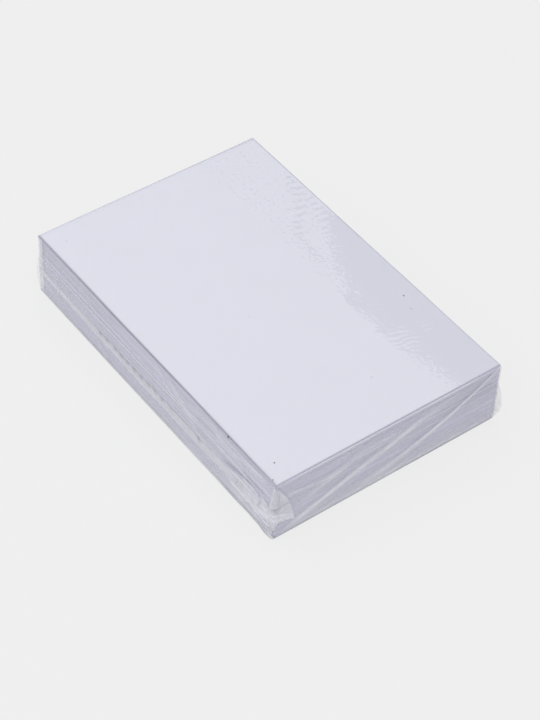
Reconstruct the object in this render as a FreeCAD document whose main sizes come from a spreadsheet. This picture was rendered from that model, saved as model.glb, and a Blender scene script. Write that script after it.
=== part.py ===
"""A shrink-wrapped stack of photo paper, as a parametric FreeCAD document.

Two pieces: the stack of loose sheets, cut to one size and lying face to face, and the clear
film that is sealed and shrunk round it.

Frame: millimetres, +Z up. The origin is the middle of the face that the pack rests on. The
sheets' long side lies along Y and their short side along X. The film's folded side is -Y. Its
seal runs round the other three sides, and an ear of spare film stands at each upright corner.
"""

import FreeCAD, Part
import Sketcher
import os
import re

from FreeCAD import Rotation, Vector

doc = FreeCAD.newDocument("photo_paper_pack")

# ---------------------------------------------------------------- driving sizes, in millimetres
SIZES = [
    # the sheets
    ("sheet_width", 102.0, "short side of a sheet, along X"),
    ("sheet_length", 152.0, "long side of a sheet, along Y"),
    ("sheet_thickness", 0.285, "one coated sheet"),
    ("sheet_count", 100, "sheets in the stack"),
    ("lower_count", 60, "sheets below the ledge"),
    ("ledge", 0.25, "how far the upper sheets lie off the lower ones, along X and along Y"),
    # the film
    ("film_thickness", 0.03, "one layer of film"),
    ("side_gap", 0.1, "clearance between the sheets' edges and the film"),
    ("seal_layers", 2, "layers of film in the seal, the ears and the tuck"),
    ("seal_width", 3.0, "height of the sealed strip, which lies flat against the side"),
    ("seal_far", 10.4, "middle of the strip above the base, at the +Y corners"),
    ("seal_near", 7.4, "middle of the strip above the base, at the -Y corners"),
    ("ear_reach", 2.5, "how far an ear stands out past its corner"),
    ("ear_low", 1.0, "lower root of an ear"),
    ("ear_tip_low", 5.0, "lower end of an ear's blunt tip"),
    ("ear_tip_high", 9.0, "upper end of an ear's blunt tip"),
    ("ear_high", 15.0, "upper root of an ear"),
    ("tuck_reach", 8.8, "how far the folded ear reaches along the -Y side"),
    ("tuck_low", 1.0, "lower root of the folded ear"),
    ("tuck_notch", 6.3, "height of the notch in the folded ear's lower edge"),
    ("tuck_notch_in", 2.4, "how far that notch is from the corner"),
    ("tuck_tip_low", 4.7, "lower end of the folded ear's tip"),
    ("tuck_tip_high", 7.4, "upper end of the folded ear's tip"),
    ("tuck_drop", 1.5, "how far the folded ear's upper root lies below the pack's top"),
]

sizes = doc.addObject("Spreadsheet::Sheet", "sizes")
for row, (alias, value, note) in enumerate(SIZES, start=1):
    sizes.set(f"A{row}", alias)
    sizes.set(f"B{row}", str(value))
    sizes.set(f"C{row}", note)
    sizes.setAlias(f"B{row}", alias)
doc.recompute()


def cell(words):
    """Turn an expression in the sheet's plain names into one that another object can use."""
    return re.sub(r"[a-z_]+", lambda name: f"sizes.{name.group()}", words)


# Sizes that follow from the driving ones, each as an expression in their names
STACK = "(sheet_count * sheet_thickness)"
LOWER = "(lower_count * sheet_thickness)"
HALF_X = "((sheet_width + ledge) / 2 + side_gap + film_thickness)"
HALF_Y = "((sheet_length + ledge) / 2 + side_gap + film_thickness)"
FOLD = "(seal_layers * film_thickness)"


# ---------------------------------------------------------------- sketching on a body's own planes
def outline(body, name, plane, offset, corners):
    """Draw a closed polygon on one of the body's origin planes, moved out along its normal.

    Each corner is a pair of expressions, its distances from the origin along the sketch's own
    two axes, so every corner follows the sheet.
    """
    sketch = body.newObject("Sketcher::SketchObject", name)
    base = next(f for f in body.Origin.OriginFeatures if f.Role == plane)
    sketch.AttachmentSupport = [(base, "")]
    sketch.MapMode = "FlatFace"
    sketch.setExpression("AttachmentOffset.Base.z", cell(offset))
    places = [[float(sizes.evalExpression(part)) for part in corner] for corner in corners]
    last = len(corners) - 1
    for i, start in enumerate(places):
        end = places[0 if i == last else i + 1]
        sketch.addGeometry(Part.LineSegment(Vector(*start, 0), Vector(*end, 0)), False)
    for i in range(len(corners)):
        following = 0 if i == last else i + 1
        sketch.addConstraint(Sketcher.Constraint("Coincident", i, 2, following, 1))
    for i, corner in enumerate(corners):
        for direction, part, place in zip("XY", corner, places[i]):
            kind = f"Distance{direction}"
            number = sketch.addConstraint(Sketcher.Constraint(kind, -1, 1, i, 1, place))
            sketch.renameConstraint(number, f"corner{i}{direction}")
            sketch.setExpression(f"Constraints.corner{i}{direction}", cell(part))
    sketch.Visibility = False
    return sketch


def rectangle(x_low, x_high, y_low, y_high):
    """The four corners of a rectangle, anticlockwise."""
    return [(x_low, y_low), (x_high, y_low), (x_high, y_high), (x_low, y_high)]


def feature(body, kind, name, sketch, length, reverse=False):
    """Pad or pocket a sketch by a length that follows the sheet."""
    made = body.newObject(f"PartDesign::{kind}", name)
    made.Profile = sketch
    made.Reversed = reverse
    made.setExpression("Length", cell(length))
    return made


# ---------------------------------------------------------------- the sheets
def make_sheet_stack():
    """The block of sheets: the upper ones lie a hair off the lower ones, which leaves a ledge."""
    body = doc.addObject("PartDesign::Body", "sheet_stack")
    body.Label = "sheet_stack"
    lots = [
        ("lower_sheets", "-", "film_thickness", LOWER),
        ("upper_sheets", "+", f"film_thickness + {LOWER}", f"{STACK} - {LOWER}"),
    ]
    for name, side, base, height in lots:
        corners = rectangle(
            f"{side} ledge / 2 - sheet_width / 2",
            f"{side} ledge / 2 + sheet_width / 2",
            f"{side} ledge / 2 - sheet_length / 2",
            f"{side} ledge / 2 + sheet_length / 2",
        )
        sketch = outline(body, f"{name}_outline", "XY_Plane", base, corners)
        feature(body, "Pad", name, sketch, height)
    return body


# ---------------------------------------------------------------- the film
def make_film_wrap():
    """The film: a tight closed skin, with its sealed strip, three ears and one folded ear."""
    body = doc.addObject("PartDesign::Body", "film_wrap")
    body.Label = "film_wrap"

    outer = rectangle(f"-{HALF_X}", HALF_X, f"-{HALF_Y}", HALF_Y)
    sketch = outline(body, "skin_outline", "XY_Plane", "0", outer)
    feature(body, "Pad", "skin", sketch, f"{STACK} + 2 * film_thickness")

    inside_x = f"({HALF_X} - film_thickness)"
    inside_y = f"({HALF_Y} - film_thickness)"
    inner = rectangle(f"-{inside_x}", inside_x, f"-{inside_y}", inside_y)
    sketch = outline(body, "room_outline", "XY_Plane", "film_thickness", inner)
    feature(body, "Pocket", "room_for_sheets", sketch, STACK, reverse=True)

    # The strip lies on the -X side and slopes down towards -Y. In the YZ plane's sketch the
    # first axis is Y, the second is Z and the normal is +X.
    strip = [
        (f"-{HALF_Y}", "seal_near - seal_width / 2"),
        (HALF_Y, "seal_far - seal_width / 2"),
        (HALF_Y, "seal_far + seal_width / 2"),
        (f"-{HALF_Y}", "seal_near + seal_width / 2"),
    ]
    sketch = outline(body, "side_seal_outline", "YZ_Plane", f"-{HALF_X}", strip)
    side_seal = feature(body, "Pad", "side_seal", sketch, FOLD, reverse=True)

    # An ear carries on in the plane of its side, out past the corner. Its root is inside the
    # skin of the next side.
    def ear(name, side, away):
        root = f"{away} ({HALF_Y} - film_thickness / 2)"
        tip = f"{away} ({HALF_Y} + ear_reach)"
        corners = [(root, "ear_low"), (tip, "ear_tip_low"), (tip, "ear_tip_high"), (root, "ear_high")]
        wall = f"{side} {HALF_X}"
        shape = outline(body, f"{name}_outline", "YZ_Plane", wall, corners)
        return feature(body, "Pad", name, shape, FOLD, reverse=side == "+")

    far_ear = ear("far_ear", "-", "+")
    doc.recompute()
    both_sides = body.newObject("PartDesign::Mirrored", "both_sides")
    both_sides.Originals = [side_seal, far_ear]
    mirror = next(f for f in body.Origin.OriginFeatures if f.Role == "YZ_Plane")
    both_sides.MirrorPlane = (mirror, [""])
    body.Tip = both_sides
    doc.recompute()

    ear("near_ear", "+", "-")

    # In the XZ plane's sketch the first axis is X, the second is Z and the normal is -Y.
    strip = rectangle(
        f"-{HALF_X}", HALF_X, "seal_far - seal_width / 2", "seal_far + seal_width / 2"
    )
    sketch = outline(body, "end_seal_outline", "XZ_Plane", f"-{HALF_Y}", strip)
    feature(body, "Pad", "end_seal", sketch, FOLD, reverse=True)

    # The fourth ear is folded round its corner and lies flat on the -Y side.
    tuck = [
        (f"-{HALF_X}", "tuck_low"),
        (f"-{HALF_X} + tuck_notch_in", "tuck_notch"),
        (f"-{HALF_X} + tuck_reach", "tuck_tip_low"),
        (f"-{HALF_X} + tuck_reach", "tuck_tip_high"),
        (f"-{HALF_X}", f"{STACK} + 2 * film_thickness - tuck_drop"),
    ]
    sketch = outline(body, "tuck_outline", "XZ_Plane", HALF_Y, tuck)
    feature(body, "Pad", "tuck", sketch, FOLD)
    return body


# ---------------------------------------------------------------- build, check and write
pieces = [make_film_wrap(), make_sheet_stack()]
for piece in pieces:
    piece.Placement = FreeCAD.Placement(Vector(0, 0, 0), Rotation())
doc.recompute()

for thing in doc.Objects:
    if "Invalid" in thing.State or "Error" in thing.State:
        raise RuntimeError(f"{thing.Name} failed: {thing.State}")
for piece in pieces:
    shape = piece.Shape
    if shape.isNull() or not shape.isValid():
        raise RuntimeError(f"{piece.Label} has no valid shape")

os.makedirs("parts", exist_ok=True)
for piece in pieces:
    shape = piece.Shape
    shape.exportStep(f"parts/{piece.Label}.step")
    box = shape.BoundBox
    print(f"{piece.Label}: {len(shape.Solids)} solid, {len(shape.Shells)} shells,"
          f" {shape.Volume:.2f} mm3,"
          f" X {box.XMin:.3f} to {box.XMax:.3f}, Y {box.YMin:.3f} to {box.YMax:.3f},"
          f" Z {box.ZMin:.3f} to {box.ZMax:.3f}")
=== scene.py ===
# %% [markdown]
# # A shrink-wrapped stack of photo paper
# This lesson builds the looks of one small pack: a block of postcard-size glossy sheets, sealed in
# clear shrink film. The frame that we load first holds the real sizes, and everything here is made
# round it. A pack like this is nearly all surface: the cut edges of a hundred sheets, and a film so
# thin that only its folds, its seal and what it mirrors can be seen. So most of the work goes into
# the film's relief and into one see-through material.

# %% Load the frame
import math

import bmesh
import bpy
import numpy as np
from mathutils import Matrix, Vector


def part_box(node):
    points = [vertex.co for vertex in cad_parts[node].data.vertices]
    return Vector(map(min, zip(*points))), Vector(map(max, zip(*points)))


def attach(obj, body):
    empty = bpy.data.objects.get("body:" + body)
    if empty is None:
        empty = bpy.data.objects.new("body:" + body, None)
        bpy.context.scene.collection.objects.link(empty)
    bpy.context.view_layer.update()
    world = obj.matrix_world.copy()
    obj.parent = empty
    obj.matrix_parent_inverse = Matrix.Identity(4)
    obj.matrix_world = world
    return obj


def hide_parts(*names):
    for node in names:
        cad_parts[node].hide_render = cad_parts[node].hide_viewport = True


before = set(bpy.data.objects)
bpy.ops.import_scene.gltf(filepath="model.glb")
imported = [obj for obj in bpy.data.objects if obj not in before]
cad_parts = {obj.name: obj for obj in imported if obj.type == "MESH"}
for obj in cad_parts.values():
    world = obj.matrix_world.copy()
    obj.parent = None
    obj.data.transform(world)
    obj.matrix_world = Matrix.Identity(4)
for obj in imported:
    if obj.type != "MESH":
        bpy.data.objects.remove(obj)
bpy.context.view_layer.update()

print("pieces in the frame:", sorted(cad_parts))

# %% [markdown]
# ## Units and sizes
# Blender works in metres, but a pack of paper is thought of in millimetres. We work out every
# shape in millimetres and turn it into metres once, when the mesh is made. All sizes that the frame
# knows are read from it: the block of sheets and the skin of film.

# %% Sizes from the frame
MM = 0.001


def box_mm(node):
    """The lowest and highest corner of a node of the frame, in millimetres."""
    low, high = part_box(node)
    return np.array(low) / MM, np.array(high) / MM


stack_low, stack_high = box_mm("sheet_stack")
film_high = box_mm("film_wrap")[1]
SHEET_COUNT = 100
SHEET_WIDTH, SHEET_LENGTH = 102.0, 152.0
FILM_GAP = 0.16
sheet_pitch = (stack_high[2] - stack_low[2]) / SHEET_COUNT
half_x = stack_high[0] + FILM_GAP
half_y = stack_high[1] + FILM_GAP
top_z = film_high[2]
print(f"stack {stack_high - stack_low} mm, one sheet {sheet_pitch:.3f} mm")
print(f"film skin {2 * half_x:.2f} x {2 * half_y:.2f} x {top_z:.2f} mm")

# %% [markdown]
# ## Helpers for meshes
# A shape here is an array of points on a grid: rows by columns by three. One helper turns such a
# grid into a mesh, and another merges the points where grids meet and turns all faces outwards.

# %% Grids into meshes


def grid_faces(rows, columns, closed=False, start=0):
    """Corner numbers of the quads of a grid. A closed grid joins its last column to its first."""
    r, c = np.meshgrid(np.arange(rows - 1), np.arange(columns if closed else columns - 1), indexing="ij")
    low, high = r * columns, (r + 1) * columns
    c_next = (c + 1) % columns
    quads = np.stack([low + c, low + c_next, high + c_next, high + c], axis=-1)
    return quads.reshape(-1, 4) + start


def make_piece(name, points, faces, values=None, weld=0.0):
    """A mesh object from points in millimetres. values are float attributes, one per point."""
    mesh = bpy.data.meshes.new(name)
    mesh.from_pydata((np.asarray(points).reshape(-1, 3) * MM).tolist(), [], [list(f) for f in faces])
    for key, numbers in (values or {}).items():
        attribute = mesh.attributes.new(key, "FLOAT", "POINT")
        attribute.data.foreach_set("value", np.asarray(numbers, np.float32).ravel())
    shape = bmesh.new()
    shape.from_mesh(mesh)
    loose = [vert for vert in shape.verts if not vert.link_faces]
    bmesh.ops.delete(shape, geom=loose, context="VERTS")
    if weld:
        bmesh.ops.remove_doubles(shape, verts=shape.verts, dist=weld * MM)
    bmesh.ops.recalc_face_normals(shape, faces=shape.faces)
    shape.to_mesh(mesh)
    shape.free()
    mesh.validate()
    piece = bpy.data.objects.new(name, mesh)
    bpy.context.scene.collection.objects.link(piece)
    return piece


def smooth(piece, sharpest=50):
    """Shade a piece smooth, and keep each edge sharp that turns by more than sharpest degrees."""
    piece.data.polygons.foreach_set("use_smooth", [True] * len(piece.data.polygons))
    piece.data.set_sharp_from_angle(angle=math.radians(sharpest))
    piece.data.update()


def shell(inner, outer):
    """Points and faces of a thin closed shell: two grids of the same size, joined at their rims."""
    rows, columns = inner.shape[:2]
    r, c = np.arange(rows), np.arange(columns)
    rim = np.concatenate([
        c[:-1], r[:-1] * columns + columns - 1,
        (rows - 1) * columns + c[:0:-1], r[:0:-1] * columns
    ])
    far_rim = rim + rows * columns
    sides = np.stack([rim, np.roll(rim, -1), np.roll(far_rim, -1), far_rim], axis=-1)
    faces = np.concatenate([
        grid_faces(rows, columns), grid_faces(rows, columns, start=rows * columns), sides
    ])
    return np.concatenate([inner.reshape(-1, 3), outer.reshape(-1, 3)]), faces


def film_sheet(name, inner, outer, milk_and_sheen, painted_shade):
    """A thin closed sheet of film between two grids that share their milk and sheen and their painted
    shade.
    """
    points, faces = shell(inner, outer)
    values = {"milk_and_sheen": np.tile(milk_and_sheen.ravel(), 2), "painted_shade": np.tile(painted_shade.ravel(), 2)}
    piece = make_piece(name, points, faces.tolist(), values)
    smooth(piece)
    return piece


def step_up(value, low, high):
    """Nought below low, one above high, and a smooth climb between."""
    t = np.clip((value - low) / (high - low), 0, 1)
    return t * t * (3 - 2 * t)


def bell(value, middle, width):
    """One at the middle, falling off on both sides like a bell of that half width."""
    return np.exp(-(((value - middle) / width) ** 2))


def waves(a, b, seed, length, stretch=1.0, count=24):
    """Soft noise: the sum of count random plane waves of about one length, in millimetres.

    stretch makes the pattern longer along a by that factor.
    """
    rng = np.random.default_rng(seed)
    angle = rng.uniform(0, math.pi, count)
    size = rng.uniform(0.7, 1.5, count) * 2 * math.pi / length
    phase = rng.uniform(0, 2 * math.pi, count)
    total = np.zeros(np.broadcast(a, b).shape)
    for k in range(count):
        along = a * math.cos(angle[k]) / stretch + b * math.sin(angle[k])
        total += np.sin(along * size[k] + phase[k])
    return total / math.sqrt(count / 2)


# %% [markdown]
# ## The camera
# The pack is looked at from above one corner, at about 46 degrees, with a long lens, so its sides
# hardly converge. Blender's camera looks along its own -Z, so we turn that axis to the aim and then
# roll the camera a little, as a hand-held camera is.

# %% Camera
CAMERA_PLACE = Vector((-0.36807, -0.45746, 0.60912))
CAMERA_AIM = Vector((-0.00314, -0.00907, 0.00529))
CAMERA_ROLL = math.radians(3.42)

camera = bpy.data.objects.new("camera", bpy.data.cameras.new("camera"))
bpy.context.scene.collection.objects.link(camera)
camera.data.sensor_width = 36.0
camera.data.lens = 110.64
camera.data.clip_end = 50.0
looking = (CAMERA_AIM - CAMERA_PLACE).to_track_quat("-Z", "Y").to_matrix().to_4x4()
camera.matrix_world = Matrix.Translation(CAMERA_PLACE) @ looking @ Matrix.Rotation(CAMERA_ROLL, 4, "Z")
bpy.context.scene.camera = camera
print("camera looks along", (CAMERA_AIM - CAMERA_PLACE).normalized())
print("its right axis is", camera.matrix_world.to_3x3() @ Vector((1, 0, 0)))

# %% [markdown]
# ## The sheets
# The real stack is a hundred cut sheets, pushed together by hand or by a machine, so no two lie
# exactly over each other. A single box would look like a brick. Instead each sheet is a thin slab
# of its own: four rings of points round its edge, the outer two a hair further out, because a
# guillotine rolls the rim of each sheet a little. Small random shifts make the fine lines that the
# eye reads as paper, and a few larger ones make the ledges that catch the light.

# %% One slab for each sheet
RIM = 0.03
CORNER_RADIUS = 0.25
CORNER_STEPS = 4
SLAB_SHARE = 0.985  # of the pitch. The rest is air between two sheets
LEDGE_SHEET = 60
LOTS_ALONG = (40, 67)  # where the shift along Y changes
TOP_SHEETS = 96  # these and the ones above lie further to the left and to the far side
# The listed lines paint light and shade on the cut edges: light lines where a ledge of sheets catches
# the light, and shade in the gaps between spread sheets and along the foot of the stack.
LONG_SHADING_LINES = [
    # first and last sheet, change of lightness: above nought a painted highlight, below it painted shade
    (0, 0, -0.40), (40, 45, 0.10), (57, 58, -0.06), (60, 60, 0.20), (62, 65, 0.08), (66, 67, 0.22),
    (68, 70, 0.13), (88, 89, -0.08), (93, 94, 0.06),
]
SHORT_SHADING_LINES = [
    (0, 0, -0.40), (21, 21, 0.16), (28, 28, 0.18), (39, 39, 0.14), (50, 50, 0.20), (67, 67, 0.55),
    (66, 66, -0.15), (84, 84, 0.20), (86, 86, -0.16), (88, 88, 0.16), (90, 90, -0.16), (92, 92, 0.16),
    (94, 94, -0.16),
]


def rounded_outline(half_a, half_b, radius, steps):
    """Points round a rectangle whose four corners are arcs, anticlockwise, as an N by 2 array."""
    turn = np.linspace(0, math.pi / 2, steps)
    corners = []
    for k, (sign_a, sign_b) in enumerate([(1, 1), (-1, 1), (-1, -1), (1, -1)]):
        centre = np.array([sign_a * (half_a - radius), sign_b * (half_b - radius)])
        angle = turn + k * math.pi / 2
        corners.append(centre + radius * np.stack([np.cos(angle), np.sin(angle)], axis=-1))
    return np.concatenate(corners)


def sheet_shifts(rng):
    """How far each sheet lies from the middle, along X and Y, as a SHEET_COUNT by 2 array.

    Every sheet has a small shift of its own. Runs of sheets that were picked up together share a
    larger one. The lower lot and the upper lot are pushed apart, which makes the long ledge. The
    topmost sheets lie a little further to the left and to the far side, where the film's rim is.
    """
    number = np.arange(SHEET_COUNT)
    shifts = rng.normal(0, 0.02, (SHEET_COUNT, 2))
    runs = np.cumsum(rng.uniform(size=SHEET_COUNT) < 0.16)
    shifts += rng.normal(0, 0.05, (runs.max() + 1, 2))[runs]
    lot = stack_high[0] - SHEET_WIDTH / 2
    shifts[:, 0] += np.where(number < LEDGE_SHEET, -lot, lot)
    shifts[:, 1] += np.select([number < LOTS_ALONG[0], number < LOTS_ALONG[1]], [-lot, -0.3 * lot], lot)
    shifts = np.clip(shifts, -lot - 0.04, lot + 0.04)
    shifts[:, 0] -= np.select([number == SHEET_COUNT - 1, number >= TOP_SHEETS], [0.28, 0.22])
    shifts[:, 1] += np.where(number >= TOP_SHEETS, 0.20, 0.0)
    return shifts


def sheet_tones_and_shading(rng, lines):
    """How light the cut edge of each sheet is, about one: a random tone of its own, plus the listed
    lines of painted highlight and painted shade.
    """
    tones_and_shading = 1 + rng.normal(0, 0.06, SHEET_COUNT)
    runs = np.cumsum(rng.uniform(size=SHEET_COUNT) < 0.3)
    tones_and_shading += rng.normal(0, 0.03, runs.max() + 1)[runs]
    for first, last, change in lines:
        tones_and_shading[first:last + 1] += change
    return tones_and_shading


def make_sheets():
    """All sheets as one mesh of separate closed slabs."""
    rng = np.random.default_rng(7)
    shifts = sheet_shifts(rng)
    turn = rng.normal(0, 0.0003, SHEET_COUNT)
    outline = rounded_outline(SHEET_WIDTH / 2, SHEET_LENGTH / 2, CORNER_RADIUS, CORNER_STEPS)
    corners = len(outline)
    levels = np.array([0, RIM, sheet_pitch - RIM, sheet_pitch]) * SLAB_SHARE
    inset = np.array([1, 0, 0, 1])
    ring = outline[None] - inset[:, None, None] * np.sign(outline)[None] * RIM
    sideways = np.stack([-ring[..., 1], ring[..., 0]], axis=-1)
    base = stack_low[2] + np.arange(SHEET_COUNT) * sheet_pitch
    points = np.zeros((SHEET_COUNT, 4, corners, 3))
    turned_ring = ring[None] + turn[:, None, None, None] * sideways[None]
    points[..., :2] = turned_ring + shifts[:, None, None, :]
    points[..., 2] = (base[:, None] + levels[None])[..., None]
    faces = []
    for sheet in range(SHEET_COUNT):
        start = sheet * 4 * corners
        faces += grid_faces(4, corners, closed=True, start=start).tolist()
        faces.append(list(range(start, start + corners))[::-1])
        faces.append(list(range(start + 3 * corners, start + 4 * corners)))
    # each corner's arc turns from the tone and painted shading of the long edge to that of the short
    # edge
    turned = np.linspace(0, 1, CORNER_STEPS)
    to_short = np.concatenate([turned, turned[::-1], turned, turned[::-1]])
    long_tone_and_shading = sheet_tones_and_shading(rng, LONG_SHADING_LINES)[:, None]
    short_tone_and_shading = sheet_tones_and_shading(rng, SHORT_SHADING_LINES)[:, None]
    tones_and_shading = long_tone_and_shading * (1 - to_short) + short_tone_and_shading * to_short
    return make_piece("sheets", points, faces, {"tone_and_shading": np.repeat(tones_and_shading[:, None], 4, axis=1)})


sheets = make_sheets()
print("sheets:", len(sheets.data.polygons), "faces")

# %% [markdown]
# ## The skin of film
# Shrink film lies tight over the block like a second skin. Its shape is a box with hair-fine
# rounded edges, pushed outwards wherever the film stands off the paper. We lay grid lines over the
# sides of a box, denser at the edges, and move each crossing: first onto the rounded box, then out
# along the same direction by a height that depends on where it is. The sides share their border
# points, so they weld into one closed skin.
#
# More numbers go with each point. One says how milky the film is there, because stretched and
# doubled film scatters light; the same number also paints highlights and sheen on fold ridges and
# thin bright lines. Another is painted shade: a dark colour laid where shadow and dark reflections
# fall, in tight folds, in pockets, along the edges and along the foot. The skin has a third, for the
# strength of its fine grain.

# %% One fold


def fold(a, b, start, end, bend, width):
    """The share, nought to one, of a hump along a curve from start to end on axes a and b.

    The curve is the straight line plus bend times a parabola that is one in its middle. Across
    the curve the share falls off like a bell, whose half width goes from width[0] to width[1].
    """
    s = (a - start[0]) / (end[0] - start[0])
    inside = np.clip(s, 0, 1)
    centre = start[1] + (end[1] - start[1]) * inside + bend * 4 * inside * (1 - inside)
    wide = width[0] + (width[1] - width[0]) * inside
    ends = step_up(s, -0.10, 0.18) * step_up(-s, -1.10, -0.82)
    return ends * np.exp(-(((b - centre) / wide) ** 2))


def lay_folds(a, b, folds):
    """Height, milk and sheen, and painted shade of a list of folds, added up over axes a and b."""
    height, clear, bright = (np.full(np.broadcast(a, b).shape, v) for v in (0.0, 1.0, 1.0))
    for start, end, bend, width, tall, milk_sheen, painted_shade in folds:
        share = fold(a, b, start, end, bend, width)
        height += tall * share
        clear *= 1 - milk_sheen * share
        bright *= 1 - painted_shade * share
    return height, 1 - clear, 1 - bright


# %% [markdown]
# ## Folds of the short side
# When the film shrinks it pulls from corner to corner, and long soft folds run slantwise over the
# short side.

# %% Short side
SHORT_FOLDS = [
    # start, end (along X and up), bend, width, height, milk and sheen, painted shade
    ((-50, 1.8), (12, 21.6), 0.6, (2.0, 1.8), 0.26, 0.80, 0),
    ((4, 19.2), (31, 26.4), 0.4, (1.8, 1.8), 0.12, 0.34, 0),
    ((-32, 7.4), (4, 19.3), 0.3, (0.8, 0.8), 0.06, 0.20, 0),
    ((-14, 4.3), (51, 28.4), -4.0, (2.4, 0.7), 0.25, 0.66, 0),
    ((14, 10.9), (51, 28.2), -1.6, (0.8, 0.4), 0.06, 0.40, 0),
    ((-43, 10.5), (4, 22.5), 4.0, (1.8, 2.2), 0.20, 0.36, 0),
    ((-49, 22.2), (-20, 18.7), -1.4, (1.3, 1.2), 0.20, 0.44, 0),
    ((-6, 21.3), (14, 23.0), 0.0, (2.0, 1.6), 0, 0.20, 0),
    ((-47, 13.0), (-22, 18.5), 0.0, (2.0, 2.0), 0, 0.16, 0),
    # painted highlight: the bright line just under the top edge
    ((-51, 28.35), (51, 28.35), 0.0, (0.55, 0.50), 0, 1.0, 0),
    ((-51, 27.4), (51, 27.4), 0.0, (0.4, 0.4), 0, 0.10, 0),
    ((-51, 18.0), (-14, 24.5), 0.0, (8.0, 4.0), 0, 0.14, 0),
    ((22, 22.5), (51, 20.5), 0.0, (4.5, 4.0), 0, 0, 0.06),
    ((-51, 26.3), (51, 26.3), 0.0, (0.5, 0.5), 0, 0, 0.10),
    ((-51, 25.4), (51, 25.4), 0.0, (0.4, 0.4), 0, 0.14, 0),
    ((-48, 4.0), (51, 3.4), 0.0, (4.0, 3.4), 0.05, 0.41, 0),
    ((-47, 2.0), (51, 2.0), 0.0, (1.1, 1.1), 0, 0.55, 0),
    # painted shade: the dark contact line along the foot
    ((-51, 0.2), (51, 0.15), 0.0, (0.35, 0.35), 0, 0, 0.50),
    ((-51, 0.3), (-34, 0.2), 0.0, (0.40, 0.30), 0, 0, 0.30),
    ((6, 0.15), (51, 0.15), 0.0, (0.40, 0.40), 0, 0, 0.40),
    ((-51.4, 1.7), (-50.3, 0.6), 0.0, (0.35, 0.35), 0, 0, 0.45),
]


def short_side(x, z):
    """Height, milk and sheen, and painted shade of the film on the -Y side."""
    height, milk_and_sheen, painted_shade = lay_folds(x, z, SHORT_FOLDS)
    height = height + 0.03 * (1 + waves(x, z, 11, 9.0, 4.0))
    streaks = 0.04 * (1 + waves(x, z - 0.32 * x, 14, 4.0, 9.0))
    return height, milk_and_sheen + streaks, painted_shade


# %% [markdown]
# ## Folds of the long side
# The long sides carry the seal, a welded strip that pulls the film into small gathers. Towards the
# corner with the folded ear the film is gathered so tightly that it crumples: the creases run
# together like the ribs of a fan towards the ear's root.

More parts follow.
